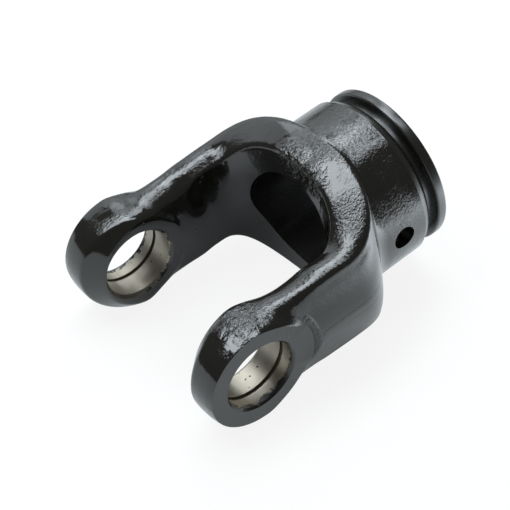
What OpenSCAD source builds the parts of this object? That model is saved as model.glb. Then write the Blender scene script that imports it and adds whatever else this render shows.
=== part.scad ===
// Forged yoke for a drive shaft, size 30.2 x 80 cross, profile tube bore

/* [Cross bores] */
// Diameter of the two bores for the bearing caps
cap_bore_d = 30.2; // [20:0.1:42]
// Distance between the near walls of the two retaining ring grooves
ring_span = 80; // [60:0.1:110]
// Width of a retaining ring groove
ring_w = 1.8; // [1:0.1:3]
// Depth of a retaining ring groove
ring_depth = 1.5; // [0.5:0.1:3]
// Chamfer at the outer mouths of the cross bores
chamfer_out = 0.8; // [0.2:0.1:2]
// Chamfer at the inner mouths of the cross bores
chamfer_in = 1.3; // [0.2:0.1:2.5]

/* [Ears] */
// Wall of the ear around its bore
ear_wall = 8.2; // [5:0.1:14]
// Ear that is left outside the ring groove
ear_lip = 6.4; // [3:0.1:12]
// Thickness of the ear, face to face
ear_t = 19.1; // [12:0.1:30]
// Shift of the cone that trims the inner edge of the ear, along the shaft
trim_x = 5.0; // [0:0.1:8]
// Shift of the same cone down, so that the upper edge loses more
trim_z = 0.9; // [0:0.1:5]
// How far the side of the ear swells between its two faces
ear_swell = 0.9; // [0:0.1:3]
// Spot face on the outside, beyond the edge of the ear
spot_out = 2.2; // [0.5:0.1:4]
// Spot face on the inside, beyond the edge of the ear
spot_in = 1.0; // [0.2:0.1:3]

/* [Fork] */
// How far the arm stands proud of the outer spot face
arm_proud = 1.6; // [0.4:0.1:3]
// Half height of the arm at the neck behind the ear
neck_h = 22.2; // [15:0.1:30]
// Half height of the arm where the throat bend starts
bend_h = 22.6; // [18:0.1:36]
// How far the crown of the fork rises above the barrel
crown_rise = 0.7; // [0:0.1:4]
// From the joint centre to the start of the throat bend
bend_x = 40; // [30:0.5:60]
// From the joint centre to the deepest point of the throat
throat_x = 59; // [50:0.5:90]
// Thickness of the fork at the crown, along the shaft
crown_t = 18; // [8:0.5:24]
// Half width of the throat at the bend
throat_w = 30.8; // [24:0.5:44]
// Draft of the inner wall of the arms, from the parting line to its edge
draft_in = 2.5; // [0:0.1:5]
// Draft of the inner wall at the throat
throat_draft = 1; // [0:0.1:5]
// Draft of the outer wall on the shoulders, from the parting line to its edge
draft_out = 5; // [0:0.1:7]
// Draft of the outer wall at the crown
crown_draft = 0.4; // [0:0.1:6]
// Round on the outer edges of the fork
edge_r = 2.6; // [2:0.1:8]
// How far the top and bottom of the fork arch above a straight line from edge to edge
top_arch = 0.9; // [0:0.1:2]

/* [Barrel] */
// Diameter of the forged barrel
barrel_d = 71; // [60:0.5:100]
// From the joint centre to the end of the forged skin
barrel_end_x = 94; // [80:0.5:130]
// Fillet from the barrel into the fork
barrel_fillet = 12; // [2:0.5:20]
// Diameter of the groove floor in front of the flange
groove_d = 62; // [50:0.5:90]
// Length of the turned cone that leads down to the groove
cone_len = 5; // [1:0.1:10]
// Width of the groove floor
groove_w = 3; // [1:0.1:8]
// Diameter of the end flange
flange_d = 69; // [55:0.5:100]
// Thickness of the end flange
flange_t = 4.4; // [2:0.1:10]
// Round on the rim of the flange
flange_r = 0.9; // [0.2:0.1:2]

/* [Shaft hole] */
// From the shaft axis to each of the three flats of the shaft hole
hole_flat = 22.7; // [15:0.1:32]
// From the shaft axis to the tip of each of its three lobes
hole_lobe = 25.1; // [18:0.1:36]
// Diameter of the radial pin hole in the barrel
pin_d = 10; // [5:0.1:16]
// From the end face to the centre of the pin hole
pin_from_end = 23.6; // [12:0.1:40]

/* [Hidden] */
paint = [0.07, 0.07, 0.075];
cap_r = cap_bore_d / 2;
ear_r = cap_r + ear_wall - 0.3;
ear_out = ring_span / 2 + ring_w + ear_lip;
ear_in = ear_out - ear_t;
arm_out = ear_out + arm_proud;
barrel_r = barrel_d / 2;
crown_h = barrel_r + crown_rise;
groove_r = groove_d / 2;
flange_x0 = barrel_end_x + cone_len + groove_w;
end_x = flange_x0 + flange_t;
crown_x = throat_x + crown_t;
pin_x = end_x - pin_from_end;
lobe_c = 2 * (hole_lobe - hole_flat);
lobe_r = hole_lobe - lobe_c;
foot_r = lobe_r - 0.03;
bend_n = 2.35;
back_n = 2.05;
back_x = 50;
fillet_turn = 54;
stations = 21;
arm_stations = 9;
corner_steps = 4;
fine = 96;

function lerp(a, b, t) = a + (b - a) * t;
function smooth(t) = t * t * (3 - 2 * t);

// Superellipse quarter: angle 0 is the crown, 90 the start of the straight arm
function bend_point(angle, cx, rx, ry, n) =
    [cx + rx * pow(cos(angle), 2 / n), ry * pow(sin(angle), 2 / n)];

function inner_bend(angle) = bend_point(angle, bend_x, throat_x - bend_x, throat_w, bend_n);
function outer_bend(angle) = bend_point(angle, back_x, crown_x - back_x, arm_out, back_n);

// Half height of the fork along the bend, from the crown down to the arm
function bend_height(angle) = lerp(crown_h, bend_h, pow(sin(angle), 2.6));

// Rounded section of the fork: across from the inner to the outer wall, and up
function arc_points(c, r, a0, a1) =
    [
        for (i = [0:corner_steps])
            let (a = lerp(a0, a1, i / corner_steps))
                [c[0] + r * cos(a), c[1] + r * sin(a)]
    ];

// Both walls bow out from the parting line at z = 0 by their draft, and an arch joins their edges
function half_section(t, h, bow_in, bow_out) =
    let (
        r_in = 2,
        r_out = min(edge_r, t / 3),
        z_out = h - r_out,
        z_in = h - 1.5 - r_in,
        outer_round = arc_points([t - bow_out - r_out, z_out], r_out, 20, 80),
        inner_round = arc_points([bow_in + r_in, z_in], r_in, 100, 165)
    )
    concat(
        [for (k = [0, 0.4, 0.7, 0.88]) [t - bow_out * pow(k, 3.2), z_out * k]],
        outer_round,
        [
            for (k = [0.25, 0.5, 0.75])
                lerp(outer_round[corner_steps], inner_round[0], k) + [0, 4 * top_arch * k * (1 - k)]
        ],
        inner_round,
        [for (k = [0.6, 0]) [bow_in * k * k, z_in * k]]
    );

function full_section(t, h, bow_in, bow_out) =
    let (up = half_section(t, h, bow_in, bow_out), n = len(up))
    concat(up, [for (i = [n - 2:-1:1]) [up[i][0], -up[i][1]]]);

// One station: plan points of the inner and the outer wall, half height, inner and outer bow
function bend_station(i) =
    let (angle = 90 * i / (stations - 1))
    [
        inner_bend(angle),
        outer_bend(angle),
        bend_height(angle),
        lerp(throat_draft, draft_in, pow(sin(angle), 2)),
        lerp(crown_draft, draft_out, pow(sin(angle), 3))
    ];

function arm_station(i) =
    let (t = i / arm_stations, xi = lerp(bend_x, 0, t), xo = lerp(back_x, 0, t))
    [
        [xi, lerp(throat_w, ear_in + 0.1, smooth(max(0, min(1, 3 * t - 0.2))))],
        [xo, arm_out],
        lerp(bend_h, neck_h, smooth(min(1, t * 2))) - 0.3 * neck_h * pow(max(0, 3.4 * t - 2.4), 1.5),
        draft_in,
        draft_out
    ];

half_path = concat([for (i = [stations - 1:-1:0]) bend_station(i)]);
arm_path = [for (i = [arm_stations:-1:1]) arm_station(i)];
near_half = concat(arm_path, half_path);
far_half = [for (i = [len(near_half) - 2:-1:0]) near_half[i]];

function placed_section(s, side) =
    let (
        inner = s[0],
        outer = s[1],
        t = norm(outer - inner),
        dir = (outer - inner) / t,
        pts = full_section(t, s[2], s[3], s[4])
    )
    [for (p = pts) [inner[0] + dir[0] * p[0], side * (inner[1] + dir[1] * p[0]), p[1]]];

fork_sections = concat(
    [for (s = near_half) placed_section(s, 1)],
    [for (s = far_half) placed_section(s, -1)]
);

module loft(sections) {
    n = len(sections[0]);
    m = len(sections);
    points = [for (s = sections) for (p = s) p];
    sides = [
        for (j = [0:m - 2])
            for (i = [0:n - 1])
                let (a = j * n + i, b = j * n + (i + 1) % n, c = a + n, d = b + n)
                    each [[a, d, b], [a, c, d]]
    ];
    first = [for (i = [0:n - 1]) i];
    last = [for (i = [n - 1:-1:0]) (m - 1) * n + i];
    polyhedron(points = points, faces = concat([first], [last], sides), convexity = 6);
}

// The ear: a swelled drum on the cross axis, its inner edge trimmed by a cone set off from the axis
module ear() {
    intersection() {
        rotate([-90, 0, 0])
            rotate_extrude($fn = fine)
                polygon([
                    [0, ear_in],
                    [ear_r - 1.3, ear_in],
                    [ear_r - 0.5, ear_in + 0.8],
                    [ear_r + ear_swell * 0.4, ear_in + ear_t * 0.2],
                    [ear_r + ear_swell * 0.9, ear_in + ear_t * 0.42],
                    [ear_r + ear_swell, ear_in + ear_t * 0.62],
                    [ear_r + ear_swell * 0.7, ear_in + ear_t * 0.84],
                    [ear_r, ear_out],
                    [0, ear_out]
                ]);
        translate([trim_x, ear_in - 1, -trim_z])
            rotate([-90, 0, 0])
                cylinder(h = ear_t + 2, r1 = ear_r - 2.3, r2 = ear_r + ear_t, $fn = fine);
    }
}

// Barrel with the turned cone, groove and end flange
module barrel() {
    rotate([0, 90, 0])
        rotate_extrude($fn = fine)
            polygon([
                [0, crown_x - 6],
                [barrel_r, crown_x - 6],
                [barrel_r, barrel_end_x],
                [barrel_r - 0.5, barrel_end_x + 0.2],
                [groove_r + 0.6, barrel_end_x + cone_len],
                [groove_r, barrel_end_x + cone_len],
                [groove_r, flange_x0],
                [flange_d / 2 - flange_r, flange_x0],
                [flange_d / 2, flange_x0 + flange_r],
                [flange_d / 2, end_x - flange_r],
                [flange_d / 2 - flange_r, end_x],
                [0, end_x]
            ]);
}

// Fillet where the shoulders run out into the barrel, held below the top and bottom of the fork
module shoulder_fillet() {
    meet_x = back_x + (crown_x - back_x) * pow(1 - pow(barrel_r / arm_out, back_n), 1 / back_n);
    run_out_x = meet_x + barrel_fillet * tan(fillet_turn / 2);
    intersection() {
        rotate([0, 90, 0])
            rotate_extrude($fn = fine)
                polygon(concat(
                    [[0, run_out_x - barrel_fillet]],
                    [for (a = [fillet_turn:-fillet_turn / 6:-1])
                        [barrel_r + barrel_fillet * (1 - cos(a)) - 0.05, run_out_x - barrel_fillet * sin(a)]],
                    [[0, run_out_x]]
                ));
        translate([back_x, 0, 0])
            rotate([90, 0, 90])
                linear_extrude(height = crown_x - back_x + 20)
                    polygon([for (a = [0:7.5:359]) [arm_out * cos(a), (barrel_r - 1.5) * sin(a)]]);
    }
}

module forging() {
    loft(fork_sections);
    ear();
    mirror([0, 1, 0]) ear();
    barrel();
    shoulder_fillet();
}

module cross_bores() {
    rotate([-90, 0, 0]) {
        translate([0, 0, -arm_out - 5])
            cylinder(h = 2 * arm_out + 10, r = cap_r, $fn = fine);
        for (side = [0, 1])
            mirror([0, 0, side])
                translate([0, 0, ring_span / 2])
                    cylinder(h = ring_w, r = cap_r + ring_depth, $fn = fine);
        for (side = [0, 1])
            mirror([0, 0, side]) {
                translate([0, 0, ear_out - chamfer_out])
                    cylinder(h = chamfer_out + 1, r1 = cap_r, r2 = cap_r + chamfer_out + 1, $fn = fine);
                translate([0, 0, ear_in - 1])
                    cylinder(h = chamfer_in + 1, r1 = cap_r + chamfer_in + 1, r2 = cap_r, $fn = fine);
            }
    }
}

module spot_faces() {
    for (side = [0, 1])
        mirror([0, side, 0])
            rotate([-90, 0, 0]) {
                translate([0, 0, ear_out])
                    cylinder(h = 10, r = ear_r + spot_out, $fn = fine);
                translate([0, 0, ear_in - 12])
                    cylinder(h = 12, r = ear_r + spot_in, $fn = fine);
            }
}

// Three lobed profile, one lobe toward -Z: three arcs and the flats tangent to them
module hole_profile() {
    for (a = [-90, 30, 150])
        rotate(a)
            translate([lobe_c, 0])
                circle(r = lobe_r, $fn = fine);
    polygon([
        for (a = [-90, 30, 150])
            for (side = [-60, 60])
                [lobe_c * cos(a) + foot_r * cos(a + side), lobe_c * sin(a) + foot_r * sin(a + side)]
    ]);
}

module shaft_hole() {
    translate([bend_x, 0, 0])
        rotate([90, 0, 90])
            linear_extrude(height = end_x - bend_x + 10)
                hole_profile();
}

module pin_hole() {
    translate([pin_x, -barrel_r - 5, 0])
        rotate([-90, 0, 0])
            cylinder(h = barrel_d + 10, d = pin_d, $fn = 48);
}

module yoke() {
    color(paint)
        difference() {
            forging();
            cross_bores();
            spot_faces();
            shaft_hole();
            pin_hole();
        }
}

yoke();
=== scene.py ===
"""Forged yoke of a drive shaft, painted gloss black, with bare ground cross bores."""
import math
from collections import namedtuple

import bmesh
import bpy
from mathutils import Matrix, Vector


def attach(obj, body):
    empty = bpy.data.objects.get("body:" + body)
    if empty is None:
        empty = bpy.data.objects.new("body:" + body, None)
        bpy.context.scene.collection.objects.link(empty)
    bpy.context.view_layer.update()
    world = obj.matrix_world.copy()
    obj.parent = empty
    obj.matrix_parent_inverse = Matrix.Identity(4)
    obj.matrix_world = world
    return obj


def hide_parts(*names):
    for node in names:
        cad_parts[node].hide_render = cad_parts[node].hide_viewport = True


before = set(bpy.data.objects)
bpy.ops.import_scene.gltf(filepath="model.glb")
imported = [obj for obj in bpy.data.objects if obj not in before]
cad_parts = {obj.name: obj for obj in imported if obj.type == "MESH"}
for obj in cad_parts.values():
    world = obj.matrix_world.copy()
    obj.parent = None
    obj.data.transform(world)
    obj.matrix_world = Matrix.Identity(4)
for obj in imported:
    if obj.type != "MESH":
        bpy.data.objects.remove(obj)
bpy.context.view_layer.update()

# Sizes of the forging in millimetres; the finished mesh is brought to metres
cap_r = 15.1
ring_r = 16.6
ring_from, ring_to = 40.0, 41.8
chamfer_out, chamfer_in = 0.8, 1.3
ear_r = 23.0
ear_in, ear_out = 29.1, 48.2
ear_swell = 0.9
spot_out_r, spot_in_r = 25.2, 24.0
trim_x, trim_z = 5.0, 0.9
arm_out = 49.8
neck_h, bend_h, crown_h = 22.2, 22.6, 36.2
bend_x, back_x = 40.0, 50.0
throat_x, crown_x = 59.0, 77.0
throat_w = 30.8
bend_n, back_n = 2.35, 2.05
draft_in, throat_draft = 2.5, 1.0
draft_out, crown_draft = 5.0, 0.4
edge_r, inner_edge_r, throat_edge_r, under_edge_r = 2.6, 2.2, 3.6, 1.6
crown_bow_power, arm_bow_power = 3.2, 1.7
edge_drop, arm_drop = 1.5, 1.8
top_arch, arm_arch = 0.3, 1.3
barrel_r, barrel_end_x = 35.5, 94.0
fillet_r, fillet_turn = 12.0, 54.0
cone_points = ((96.5, 34.2), (98.0, 33.0))
groove_r, cone_end_x, flange_x = 31.0, 99.0, 102.0
flange_r, flange_round, end_x = 34.5, 0.9, 106.4
hole_flat, hole_lobe = 22.7, 25.1
pin_r, pin_x = 5.0, 82.8
stock = 3.0

# Fineness of the mesh
arm_steps, bend_steps = 22, 40
voxel, soften_rounds, neck_rounds = 0.66, 14, 110

# One cross section of the fork: its ends in plan, its height over the parting plane, how much lower
# its inner edge lies, the draft of both walls, the radius of its inner edge and the arch of its top
Station = namedtuple("Station", "inner outer height drop bow_in bow_out bow_power round_in arch")


def lerp(a, b, t):
    return a + (b - a) * t


def smooth(t):
    t = min(1.0, max(0.0, t))
    return t * t * (3 - 2 * t)


def only(*objects):
    """Select these objects and nothing else; the first one is active."""
    if bpy.context.object and bpy.context.object.mode != "OBJECT":
        bpy.ops.object.mode_set(mode="OBJECT")
    bpy.ops.object.select_all(action="DESELECT")
    for one in objects:
        one.select_set(True)
    bpy.context.view_layer.objects.active = objects[0]


def apply_modifier(piece, kind, **settings):
    only(piece)
    modifier = piece.modifiers.new(kind.title(), kind)
    for setting, value in settings.items():
        setattr(modifier, setting, value)
    bpy.ops.object.modifier_apply(modifier=modifier.name)


def cut(piece, tool, operation="DIFFERENCE"):
    """Boolean with a tool that is used up; cut faces keep the tool's finish."""
    apply_modifier(
        piece, "BOOLEAN", operation=operation, object=tool, solver="MANIFOLD", material_mode="TRANSFER"
    )
    bpy.data.objects.remove(tool)


def close_up(piece):
    """Merge doubles and turn the faces outwards."""
    only(piece)
    bpy.ops.object.mode_set(mode="EDIT")
    bpy.ops.mesh.select_all(action="SELECT")
    bpy.ops.mesh.remove_doubles(threshold=0.001)
    bpy.ops.mesh.normals_make_consistent(inside=False)
    bpy.ops.object.mode_set(mode="OBJECT")


def turned(name, profile, axis="X", steps=192):
    """Lathe work: a profile of (along, radius) points spun about the axis."""
    bpy.ops.object.select_all(action="DESELECT")
    bpy.ops.mesh.primitive_circle_add(vertices=len(profile), radius=1)
    piece = bpy.context.object
    piece.name = name
    for vertex, (along, radius) in zip(piece.data.vertices, profile):
        vertex.co = (along, radius, 0) if axis == "X" else (radius, along, 0)
    bpy.ops.object.mode_set(mode="EDIT")
    bpy.ops.mesh.select_all(action="SELECT")
    turn_axis = (1, 0, 0) if axis == "X" else (0, 1, 0)
    bpy.ops.mesh.spin(steps=steps, angle=2 * math.pi, center=(0, 0, 0), axis=turn_axis)
    bpy.ops.object.mode_set(mode="OBJECT")
    close_up(piece)
    return piece


def move(piece, offset):
    only(piece)
    bpy.ops.transform.translate(value=offset)
    bpy.ops.object.transform_apply(location=True, rotation=False, scale=False)


# Fork
def bend_point(angle, start_x, run_x, half_width, n):
    """Superellipse quarter: angle 0 is the crown, 90 the start of the straight arm."""
    a = math.radians(angle)
    return Vector((start_x + run_x * math.cos(a) ** (2 / n), half_width * math.sin(a) ** (2 / n)))


def bend_station(angle):
    """Each size changes from crown to arm at its own pace, the finish of the walls last."""
    a = math.sin(math.radians(angle))
    return Station(
        inner=bend_point(angle, bend_x, throat_x - bend_x, throat_w, bend_n),
        outer=bend_point(angle, back_x, crown_x - back_x, arm_out, back_n),
        height=lerp(crown_h, bend_h, a ** 2.6),
        drop=edge_drop,
        bow_in=lerp(throat_draft, draft_in, a ** 2),
        bow_out=lerp(crown_draft, draft_out, a ** 5),
        bow_power=lerp(crown_bow_power, arm_bow_power, a ** 20),
        round_in=lerp(throat_edge_r, inner_edge_r, a ** 3),
        arch=lerp(top_arch, arm_arch, a ** 8),
    )


def arm_station(t):
    """From the end of the bend (0) to the cross axis (1); the arm thins out inside the ear."""
    thinned = 0.3 * neck_h * max(0.0, 3.4 * t - 2.4) ** 1.5
    return Station(
        inner=Vector((lerp(bend_x, 0, t), lerp(throat_w, ear_in + 0.1, smooth(3 * t - 0.2)))),
        outer=Vector((lerp(back_x, 0, t), arm_out)),
        height=lerp(bend_h, neck_h, smooth(2 * t)) - thinned,
        drop=edge_drop + arm_drop * smooth((t - 0.15) / 0.2) * smooth((0.7 - t) / 0.25),
        bow_in=draft_in,
        bow_out=draft_out,
        bow_power=arm_bow_power,
        round_in=inner_edge_r,
        arch=arm_arch,
    )


def arc(centre, radius, start, end, steps):
    points = []
    for i in range(steps + 1):
        a = math.radians(lerp(start, end, i / steps))
        points.append((centre[0] + radius * math.cos(a), centre[1] + radius * math.sin(a)))
    return points


def half_section(station, thick):
    """Points across from the inner wall and up from the parting plane: outer wall, top, inner wall."""
    bow_in, bow_out, round_in = station.bow_in, station.bow_out, station.round_in
    round_out = min(edge_r, thick / 3)
    z_out = station.height - round_out
    z_in = station.height - station.drop - round_in
    outer = []
    for k in (0, 0.2, 0.4, 0.55, 0.7, 0.8, 0.88, 0.95):
        outer.append((thick - bow_out * k ** station.bow_power, z_out * k))
    outer += arc((thick - bow_out - round_out, z_out), round_out, 10, 85, 6)
    inner = arc((bow_in + round_in, z_in), round_in, 95, 170, 6)
    inner += [(bow_in * k * k, z_in * k) for k in (0.88, 0.75, 0.6, 0.45, 0.3, 0.15, 0)]
    top = []
    for k in (0.125, 0.25, 0.375, 0.5, 0.625, 0.75, 0.875):
        along, up = Vector(outer[-1]).lerp(Vector(inner[0]), k)
        top.append((along, up + 4 * station.arch * k * (1 - k)))
    return outer + top + inner


def placed_section(station, side):
    """The whole section in place; the underside is flat, with a sharper inner edge than the top."""
    inner = station.inner
    across = station.outer - inner
    thick = across.length
    across /= thick
    upper = half_section(station, thick)
    under = half_section(station._replace(drop=0.0, round_in=under_edge_r, arch=0.0), thick)
    whole = upper + [(p, -z) for p, z in under[-2:0:-1]]
    return [Vector((inner.x + across.x * p, side * (inner.y + across.y * p), z)) for p, z in whole]


def lofted(name, sections):
    """The first section is drawn as a circle and shaped, then extruded from station to station."""
    count = len(sections[0])
    bpy.ops.object.select_all(action="DESELECT")
    bpy.ops.mesh.primitive_circle_add(vertices=count, fill_type="NGON", radius=1)
    piece = bpy.context.object
    piece.name = name
    bpy.ops.object.mode_set(mode="EDIT")
    bpy.ops.mesh.select_all(action="SELECT")
    work = bmesh.from_edit_mesh(piece.data)
    ring = list(work.verts)
    for vertex, place in zip(ring, sections[0]):
        vertex.co = place
    for section in sections[1:]:
        bpy.ops.mesh.extrude_region_move()
        work = bmesh.from_edit_mesh(piece.data)
        for vertex, place in zip([v for v in work.verts if v.select], section):
            vertex.co = place
    bmesh.update_edit_mesh(piece.data)
    bpy.ops.object.mode_set(mode="OBJECT")
    close_up(piece)
    return piece


def fork():
    """Lofted from one cross axis end round the crown to the other."""
    arm = [arm_station(1 - i / arm_steps) for i in range(arm_steps)]
    bend = [bend_station(90 - 90 * i / bend_steps) for i in range(bend_steps + 1)]
    half = arm + bend
    sections = [placed_section(station, 1) for station in half]
    sections += [placed_section(station, -1) for station in half[-2::-1]]
    return lofted("forging", sections)


def ear(side):
    """A swelled drum on the cross axis, its inner edge trimmed by a cone set off from the axis."""
    thick = ear_out - ear_in
    profile = [(ear_in, 0), (ear_in, ear_r - 1.3), (ear_in + 0.8, ear_r - 0.5)]
    swell = ((0.2, 0.4), (0.42, 0.9), (0.62, 1.0), (0.84, 0.7), (1.0, 0.0), (1.02, -0.1))
    profile += [(ear_in + thick * t, ear_r + ear_swell * s) for t, s in swell]
    profile += [(ear_out + 0.9, ear_r - 0.3), (ear_out + 1.1, 0)]
    drum = turned("ear", profile, axis="Y")
    cone = turned(
        "trim",
        [(ear_in - 1, 0), (ear_in - 1, ear_r - 2.3), (ear_out + 1, ear_r + thick), (ear_out + 1, 0)],
        axis="Y",
    )
    move(cone, (trim_x, 0, -trim_z))
    cut(drum, cone, "INTERSECT")
    if side < 0:
        only(drum)
        bpy.ops.transform.mirror(constraint_axis=(False, True, False))
        bpy.ops.object.transform_apply(location=True, rotation=True, scale=True)
        close_up(drum)
    return drum


def barrel_blank():
    """Rooted in the crown, with stock for the lathe at its end."""
    start, end = crown_x - 6, end_x + stock
    return turned("barrel", [(start, 0), (start, barrel_r), (end, barrel_r), (end, 0)])


def shoulder_fillet():
    """Run-out of the shoulders into the barrel, held below the top and bottom of the fork."""
    run = crown_x - back_x
    meet_x = back_x + run * (1 - (barrel_r / arm_out) ** back_n) ** (1 / back_n)
    end = meet_x + fillet_r * math.tan(math.radians(fillet_turn / 2))
    profile = [(end - fillet_r, 0)]
    for i in range(13):
        a = math.radians(fillet_turn * (1 - i / 12))
        profile.append((end - fillet_r * math.sin(a), barrel_r + fillet_r * (1 - math.cos(a)) - 0.05))
    profile.append((end, 0))
    ring = turned("fillet", profile)
    belt_length = 60
    middle = (back_x + belt_length / 2, 0, 0)
    bpy.ops.object.select_all(action="DESELECT")
    bpy.ops.mesh.primitive_cylinder_add(vertices=128, radius=1, depth=belt_length, location=middle)
    belt = bpy.context.object
    bpy.ops.transform.resize(value=(barrel_r - 1.5, arm_out, 1))
    bpy.ops.transform.rotate(value=math.pi / 2, orient_axis="Y", center_override=middle)
    bpy.ops.object.transform_apply(location=True, rotation=True, scale=True)
    cut(ring, belt, "INTERSECT")
    return ring


def forged_blank():
    """All forged bodies fused into one skin, with the soft blends of a forging."""
    blank = fork()
    only(blank, ear(1), ear(-1), barrel_blank(), shoulder_fillet())
    bpy.context.view_layer.objects.active = blank
    bpy.ops.object.join()
    blank.data.remesh_voxel_size = voxel
    bpy.ops.object.voxel_remesh()
    apply_modifier(blank, "SMOOTH", factor=0.5, iterations=soften_rounds)

    # The necks between ear and arm are smoothed far longer, except near the parting plane
    neck = blank.vertex_groups.new(name="neck")
    for vertex in blank.data.vertices:
        x, y, z = vertex.co
        weight = smooth(x / 9) * smooth((33 - x) / 10) * smooth((abs(z) - 9) / 6)
        if weight > 0.01:
            neck.add([vertex.index], weight, "REPLACE")
    apply_modifier(blank, "SMOOTH", factor=0.5, iterations=neck_rounds, vertex_group="neck")
    return blank


# Machined shapes
def outer_facing(side):
    """Spot face on the outside; the step up to the arm rises in a soft curve."""
    step = ((0, 0), (0.08, 0.3), (0.25, 0.7), (0.55, 1.2), (0.9, 1.9), (1.2, 2.7), (1.45, 3.6), (1.6, 4.6))
    profile = [(ear_out, 0)] + [(ear_out + along, spot_out_r + radius) for along, radius in step]
    profile += [(ear_out + 12, spot_out_r + 5), (ear_out + 12, 0)]
    return turned("outer_facing", [(side * along, radius) for along, radius in profile], axis="Y")


def inner_facing():
    """Faces the inside of both ears in one pass."""
    profile = [(-ear_in, 0), (-ear_in, spot_in_r), (ear_in, spot_in_r), (ear_in, 0)]
    return turned("inner_facing", profile, axis="Y")


def cross_bore():
    """Bore, ring grooves and chamfers of both ears in one pass."""
    half = [
        (ear_in, cap_r + chamfer_in),
        (ear_in + chamfer_in, cap_r),
        (ring_from, cap_r),
        (ring_from, ring_r),
        (ring_to, ring_r),
        (ring_to, cap_r),
        (ear_out - chamfer_out, cap_r),
        (ear_out + 2, cap_r + chamfer_out + 2),
        (ear_out + 2, 0),
    ]
    profile = [(-along, radius) for along, radius in reversed(half)] + half
    return turned("cross_bore", profile, axis="Y", steps=256)


def hub_turning():
    """Everything that the lathe takes off the end of the barrel: cone, groove and flange rim."""
    profile = [
        (barrel_end_x, barrel_r + 14),
        (barrel_end_x, barrel_r - 0.45),
        (barrel_end_x + 0.2, barrel_r - 0.5),
        *cone_points,
        (cone_end_x, groove_r + 0.6),
        (cone_end_x, groove_r),
        (flange_x, groove_r),
        (flange_x, flange_r - flange_round),
    ]
    for centre_x, start, end in ((flange_x + flange_round, 180, 90), (end_x - flange_round, 90, 0)):
        profile += arc((centre_x, flange_r - flange_round), flange_round, start, end, 5)
    profile += [(end_x, 0), (end_x + 14, 0), (end_x + 14, barrel_r + 14)]
    return turned("hub_turning", profile, steps=256)


def shaft_hole():
    """Three lobed profile, one lobe down: three arcs and the flats tangent to them."""
    lobe_c = 2 * (hole_lobe - hole_flat)
    lobe_r = hole_lobe - lobe_c
    outline = []
    for centre in (-90, 30, 150):
        a = math.radians(centre)
        outline += arc((lobe_c * math.cos(a), lobe_c * math.sin(a)), lobe_r, centre - 60, centre + 60, 24)
    sections = [[Vector((x, p, q)) for p, q in outline] for x in (bend_x, end_x + 10)]
    return lofted("shaft_hole", sections)


def pin_hole():
    reach = barrel_r + 6
    return turned("pin_hole", [(-reach, 0), (-reach, pin_r), (reach, pin_r), (reach, 0)], axis="Y", steps=64)


def placed_at(tool, x):
    move(tool, (x, 0, 0))
    return tool


# Shader trees
class Value:
    """What a socket gives, varying over the surface; sums and products add their Math nodes."""

    def __init__(self, nodes, socket):
        self.nodes = nodes
        self.socket = socket

    def maths(self, operation, *others):
        return self.nodes.node("ShaderNodeMath", {"operation": operation}, self, *others)

    def __add__(self, other):
        return self.maths("ADD", other)

    __radd__ = __add__

    def __sub__(self, other):
        return self.maths("SUBTRACT", other)

    def __rsub__(self, other):
        return self.nodes.node("ShaderNodeMath", {"operation": "SUBTRACT"}, other, self)

    def __mul__(self, other):
        return self.maths("MULTIPLY", other)

    __rmul__ = __mul__

    def __abs__(self):
        return self.maths("ABSOLUTE")

    def at_least(self, other):
        return self.maths("MAXIMUM", other)

    def between(self, low, high):
        """0 below low, 1 above high, eased in between."""
        eased = {"interpolation_type": "SMOOTHSTEP"}
        return self.nodes.node("ShaderNodeMapRange", eased, self, low, high, 0.0, 1.0)


class Nodes:
    """The node tree of a material, a lamp or the world, without the default node that is not used."""

    def __init__(self, owner, unused=None):
        owner.use_nodes = True
        self.tree = owner.node_tree
        if unused:
            self.tree.nodes.remove(self.tree.nodes[unused])

    def plug(self, value, socket):
        """Link a value to a socket, or set the socket to a number or colour."""
        if isinstance(value, Value):
            self.tree.links.new(value.socket, socket)
        elif value is not None:
            socket.default_value = value

    def node(self, kind, settings, *values, out=0, **named):
        """One node: its settings first, then the values or links of its sockets."""
        made = self.tree.nodes.new(kind)
        for setting, value in settings.items():
            setattr(made, setting, value)
        for socket, value in zip(made.inputs, values):
            self.plug(value, socket)
        for name, value in named.items():
            self.plug(value, made.inputs[name])
        return Value(self, made.outputs[out])

    def vector_maths(self, operation, *values, **named):
        return self.node("ShaderNodeVectorMath", {"operation": operation}, *values, **named)

    def parts(self, vector):
        split = self.node("ShaderNodeSeparateXYZ", {}, vector)
        return [Value(self, socket) for socket in split.socket.node.outputs]

    def mix_shaders(self, amount, first, second):
        return self.node("ShaderNodeMixShader", {}, amount, first, second)

    def seen(self):
        """1 for rays from the camera, also through glass."""
        direct = self.node("ShaderNodeLightPath", {}, out="Is Camera Ray")
        return direct.at_least(self.node("ShaderNodeLightPath", {}, out="Is Transmission Ray"))

    def show(self, shader, output):
        self.plug(shader, self.tree.nodes[output].inputs["Surface"])


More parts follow.
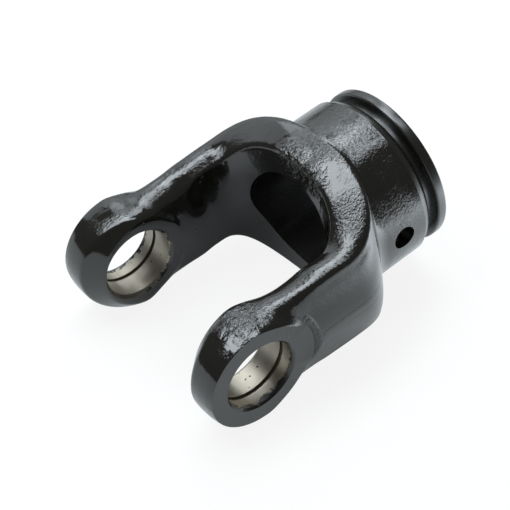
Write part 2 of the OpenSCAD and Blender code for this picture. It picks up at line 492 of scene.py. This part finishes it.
class Finish(Nodes):
    """A material and its surface shader."""

    def __init__(self, name):
        self.material = bpy.data.materials.new(name)
        super().__init__(self.material)
        self.shader = self.tree.nodes["Principled BSDF"]
        self.shader.inputs["IOR"].default_value = 1.65

    def place(self):
        """Where a point lies on the forging, in millimetres."""
        where = self.node("ShaderNodeTexCoord", {}, out="Object")
        return self.vector_maths("SCALE", where, Scale=1000.0)

    def noise(self, vector, size, detail=2.0, rough=0.5, warp=0.0):
        sockets = {"Vector": vector, "Scale": 1 / size, "Detail": detail, "Roughness": rough}
        return self.node("ShaderNodeTexNoise", {}, Distortion=warp, **sockets)

    def near(self, vector, point, inner, outer):
        """1 within the inner distance of a point, 0 beyond the outer one."""
        away = self.vector_maths("DISTANCE", vector, point, out="Value")
        return 1 - away.between(inner, outer)

    def spot_rim(self, x, y, z):
        """1 on the rough band just outside the spot faces."""
        across = self.node("ShaderNodeCombineXYZ", {}, x, 0.0, z)
        radius = self.vector_maths("LENGTH", across, out="Value")
        band = radius.between(spot_out_r - 0.1, spot_out_r + 0.4)
        band = band * (1 - radius.between(spot_out_r + 2.0, spot_out_r + 3.4))
        return band * abs(y).between(ear_out - 1.5, ear_out)

    def mix_colours(self, amount, first, second):
        """The colour sockets of a Mix node come after those for numbers and vectors."""
        skipped = [None] * 5
        return self.node("ShaderNodeMix", {"data_type": "RGBA"}, amount, *skipped, first, second, out=2)

    def wear(self, name, value):
        """One socket of the surface shader."""
        self.plug(value, self.shader.inputs[name])

    def relief(self, height):
        """Height in millimetres."""
        self.wear("Normal", self.node("ShaderNodeBump", {}, Strength=1.0, Distance=0.001, Height=height))


# Paints and steel; lengths are in millimetres
enamel_dark, enamel_light = (0.0072, 0.0066, 0.0052, 1), (0.0122, 0.0112, 0.0088, 1)
enamel_flat, enamel_edge = (0.0088, 0.0081, 0.0066, 1), (0.006, 0.0056, 0.0048, 1)
steel_dark, steel_light = (0.235, 0.208, 0.165, 1), (0.38, 0.35, 0.295, 1)


def forged_enamel():
    """Gloss black paint over forging scale: low waves, hammered patches, a lumpy trim edge and pits."""
    finish = Finish("forged_enamel")
    place = finish.place()
    x, y, z = finish.parts(place)

    # Kinds of unevenness
    drift = finish.noise(place, 11.0, 2.0)
    grain_way = finish.node("ShaderNodeCombineXYZ", {}, x * 0.8, y, z * 0.35)
    waves = finish.noise(grain_way, 6.0, 2.0, 0.4)
    ripple = finish.noise(grain_way, 2.6, 1.0)
    peel = finish.noise(place, 0.9, 2.0)
    wrinkle = finish.noise(place, 1.5, 4.0, 0.6, 1.4)
    crinkle = finish.noise(place, 2.6, 1.5, 0.45, 1.2)
    bent = finish.vector_maths("MULTIPLY_ADD", finish.noise(place, 1.6, 1.0), (1.2, 1.2, 1.2), place)
    rounded = {"feature": "SMOOTH_F1"}
    cells = finish.node("ShaderNodeTexVoronoi", rounded, Vector=bent, Scale=1 / 1.1, Smoothness=0.25)
    pits = finish.node("ShaderNodeTexVoronoi", {}, Vector=place, Scale=1 / 9.0).between(0.03, 0.08)

    # Hammered scale lies on the level tops, most of all on ear, neck and crown, and all over the barrel
    facing_z = finish.parts(finish.node("ShaderNodeTexCoord", {}, out="Normal"))[2]
    level = 0.35 + 0.65 * abs(facing_z).between(0.72, 0.94)
    uneven = 0.35 + 0.65 * finish.noise(place, 4.5, 1.0).between(0.40, 0.56)
    on_ear = uneven * finish.near(place, (3.0, -38.0, 25.0), 7.0, 14.0)
    on_crown = finish.near(place, (62.0, -34.0, 30.0), 6.0, 16.0)
    on_neck = finish.near(place, (25.0, -40.0, 23.0), 8.0, 20.0)
    patch = (0.4 * drift.between(0.42, 0.56)).at_least(on_ear)
    patch = patch.at_least(0.6 * on_crown).at_least(0.35 * on_neck) * level
    on_barrel = x.between(70.0, 76.0)
    patch = patch.at_least((0.25 + 0.45 * drift.between(0.45, 0.6)) * on_barrel)

    # The trimmed lip of the throat, the parting band of the dies and the rim of the spot faces
    lip = finish.near(place, (59.0, -10.0, 33.0), 4.0, 10.0)
    lip = lip.at_least(finish.near(place, (61.0, 3.0, 33.5), 4.0, 10.0))
    parting = 1 - abs(z + 1.2 * wrinkle - 0.6).between(1.0, 1.7)
    parting = parting * abs(y).between(44.0, 47.0)
    rim = finish.spot_rim(x, y, z)

    height = 0.085 * waves + 0.03 * ripple + 0.012 * peel
    height = height + patch * (0.22 * cells + 0.30 * abs(wrinkle - 0.5))
    height = height + lip.at_least(0.35 * on_ear) * (1.1 * crinkle) + 0.2 * pits
    height = height + rim * (0.22 * cells + 0.4 * wrinkle) + 0.2 * parting
    finish.relief(height)
    finish.wear("Base Color", finish.mix_colours(drift, enamel_dark, enamel_light))
    finish.wear("Roughness", 0.05 + 0.10 * finish.noise(place, 14.0, 2.0))
    return finish.material


def machined_enamel():
    """The same paint over faced and turned steel."""
    finish = Finish("machined_enamel")
    place = finish.place()
    lumps = finish.spot_rim(*finish.parts(place)) * finish.noise(place, 1.1, 3.0, 0.6)
    fine, broad = finish.noise(place, 1.6, 2.0), finish.noise(place, 8.0, 1.0)
    finish.relief(0.008 * fine + 0.05 * broad + 0.8 * lumps)
    finish.wear("Base Color", enamel_flat)
    finish.wear("Roughness", 0.22 + 0.12 * finish.noise(place, 10.0, 2.0))
    return finish.material


def ground_steel():
    """Bare bore of the ear, with a ragged edge of paint at its mouths."""
    finish = Finish("ground_steel")
    place = finish.place()
    x, y, z = finish.parts(place)
    depth = abs(y)
    ragged = finish.noise(place, 2.4, 4.0, 0.65) - 0.5
    mouth = (depth + 9.0 * ragged).between(ear_out - 2.2, ear_out - 1.9)
    root = 1 - (depth + 5.0 * ragged - 0.09 * x).between(ear_in - 0.2, ear_in + 0.1)
    specks = finish.noise(place, 1.6, 1.0).between(0.745, 0.76)
    paint = mouth.at_least(root).at_least(specks)
    drawn_out = finish.node("ShaderNodeCombineXYZ", {}, x * 0.02, y * 6.0, z * 0.02)
    grain = finish.noise(drawn_out, 1.0, 3.0)
    bare = finish.mix_colours(finish.noise(place, 5.0, 3.0), steel_dark, steel_light)
    finish.wear("Base Color", finish.mix_colours(paint, bare, enamel_edge))
    finish.wear("Metallic", 1 - paint)
    finish.wear("Roughness", 0.36 + 0.1 * grain - 0.14 * paint)
    finish.relief(0.006 * grain + 0.05 * paint)
    return finish.material


enamel = forged_enamel()
turned_paint = machined_enamel()
steel = ground_steel()

yoke = forged_blank()
yoke.data.materials.append(enamel)
for tool, skin in (
    (outer_facing(1), turned_paint),
    (outer_facing(-1), turned_paint),
    (inner_facing(), turned_paint),
    (hub_turning(), turned_paint),
    (cross_bore(), steel),
    (shaft_hole(), turned_paint),
    (placed_at(pin_hole(), pin_x), turned_paint),
):
    tool.data.materials.append(skin)
    cut(yoke, tool)

yoke.name = "yoke_forging"
only(yoke)
bpy.ops.transform.resize(value=(0.001, 0.001, 0.001), center_override=(0, 0, 0))
bpy.ops.object.transform_apply(location=True, rotation=True, scale=True)
bpy.ops.object.shade_smooth_by_angle(angle=math.radians(28))
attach(yoke, "root")
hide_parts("yoke")

# Camera, fitted to the rims of the bores, the ring grooves and the flange
bpy.ops.object.camera_add(
    location=(-0.158815, -0.33304, 0.428371),
    rotation=[math.radians(a) for a in (41.4185, 7.6427, -38.8374)],
)
camera = bpy.context.object
camera.data.sensor_width = 36
camera.data.lens = 103.232
bpy.context.scene.camera = camera

# The yoke lies on both ears and the lower edge of its crown, so the floor leans by this much
lean = math.radians(9.33)
floor_up = Vector((math.sin(lean), 0, math.cos(lean)))
lowest = min(floor_up.dot(v.co) for v in yoke.data.vertices)
yoke_middle = Vector((0.04, 0, 0))
white, daylight = (1, 1, 1, 1), (0.87, 0.945, 1.0)


def direction(azimuth, elevation):
    a, e = math.radians(azimuth), math.radians(elevation)
    return Vector((math.cos(a) * math.cos(e), math.sin(a) * math.cos(e), math.sin(e)))


def facing(normal):
    return normal.to_track_quat("Z", "Y").to_euler()


def white_paper():
    """White to the camera, with the forging's shadow and a little painted shade; clear from below.

    Mirror rays see the paper glow, dimmed by painted shade round the forging and between its arms.
    """
    material = bpy.data.materials.new("white_paper")
    nodes = Nodes(material, unused="Principled BSDF")
    away = nodes.vector_maths("LENGTH", nodes.node("ShaderNodeTexCoord", {}, out="Object"), out="Value")
    # Painted shade: within a few centimetres of the forging the paper is coloured darker, 0.42 against 0.9
    painted_shade_paper = nodes.node("ShaderNodeBsdfDiffuse", {}, (0.42, 0.42, 0.42, 1))
    open_paper = nodes.node("ShaderNodeBsdfDiffuse", {}, (0.9, 0.9, 0.9, 1))
    paper = nodes.mix_shaders(away.between(0.035, 0.075), painted_shade_paper, open_paper)

    # Painted shade for mirror rays: the floor's glow is only 0.12 close to the forging and between its arms,
    # and full some 20 cm away
    mirrored = nodes.node("ShaderNodeLightPath", {}, out="Is Glossy Ray")
    mirror_glow_with_painted_shade = 0.12 + 0.68 * away.between(0.032, 0.066) + 0.2 * away.between(0.066, 0.2)
    cool_white = nodes.node("ShaderNodeEmission", {}, (0.90, 0.97, 1, 1), 1.0)
    paper = nodes.mix_shaders(mirror_glow_with_painted_shade * mirrored, paper, cool_white)

    plain = 0.88 + 0.12 * away.between(0.25, 0.6)
    paper = nodes.mix_shaders(plain * nodes.seen(), paper, nodes.node("ShaderNodeEmission", {}, white, 1.0))

    below = nodes.node("ShaderNodeNewGeometry", {}, out="Backfacing")
    clear = nodes.node("ShaderNodeBsdfTransparent", {})
    nodes.show(nodes.mix_shaders(below, paper, clear), "Material Output")
    return material


under_yoke = floor_up * lowest + Vector((yoke_middle.x, 0, -yoke_middle.x * math.tan(lean)))
bpy.ops.object.select_all(action="DESELECT")
bpy.ops.mesh.primitive_circle_add(
    vertices=64, radius=4, fill_type="NGON", location=under_yoke, rotation=facing(floor_up)
)
floor = bpy.context.object
floor.name = "floor"
floor.data.materials.append(white_paper())


# Lamps
def softbox(name, azimuth, elevation, width, height, brightness, reach=0.9):
    """A lamp that faces the middle of the forging; its energy follows from its size and brightness."""
    toward = direction(azimuth, elevation)
    place = yoke_middle + reach * toward
    bpy.ops.object.light_add(type="AREA", location=place, rotation=facing(toward))
    lamp = bpy.context.object
    lamp.name = name
    lamp.data.shape = "RECTANGLE"
    lamp.data.size = width
    lamp.data.size_y = height
    lamp.data.energy = brightness * 4 * width * height
    lamp.data.color = daylight
    lamp.visible_camera = False
    return lamp


def fade_edges(lamp):
    """Dim a lamp from its middle to its edges, so that its mirror image has no hard border."""
    nodes = Nodes(lamp.data, unused="Emission")
    across, up, _ = nodes.parts(nodes.node("ShaderNodeNewGeometry", {}, out="Parametric"))
    lit = 4 * across * (1 - across) * (4 * up * (1 - up))
    glow = nodes.node("ShaderNodeEmission", {}, white, 1.0)
    nodes.show(nodes.mix_shaders(lit * lit, None, glow), "Light Output")


softbox("overhead", 90, 75, 0.85, 0.42, 5.8)
softbox("barrel light", -9, 64, 0.20, 0.30, 4.2)
softbox("strip", 32, 40, 0.22, 0.80, 3.6)
softbox("back panel", 62, 42, 0.26, 0.36, 1.5)
softbox("back low", 72, 25, 1.10, 0.60, 0.75)

# This card lies just over the floor and lights the shoulder from below
bounce_card = softbox("bounce card", -40, -13, 0.30, 0.30, 3.0, reach=0.22)
bounce_card.rotation_euler = facing(-floor_up)
fade_edges(bounce_card)


def studio():
    """A white backdrop for the camera, in a room that lights the forging dimly."""
    world = bpy.data.worlds.new("studio")
    nodes = Nodes(world, unused="Background")
    backdrop = nodes.node("ShaderNodeBackground", {}, white, 1.0)
    dim_room = nodes.node("ShaderNodeBackground", {}, white, 0.12)
    nodes.show(nodes.mix_shaders(nodes.seen(), dim_room, backdrop), "World Output")
    return world


bpy.context.scene.world = studio()
bpy.context.scene.view_settings.view_transform = "Standard"
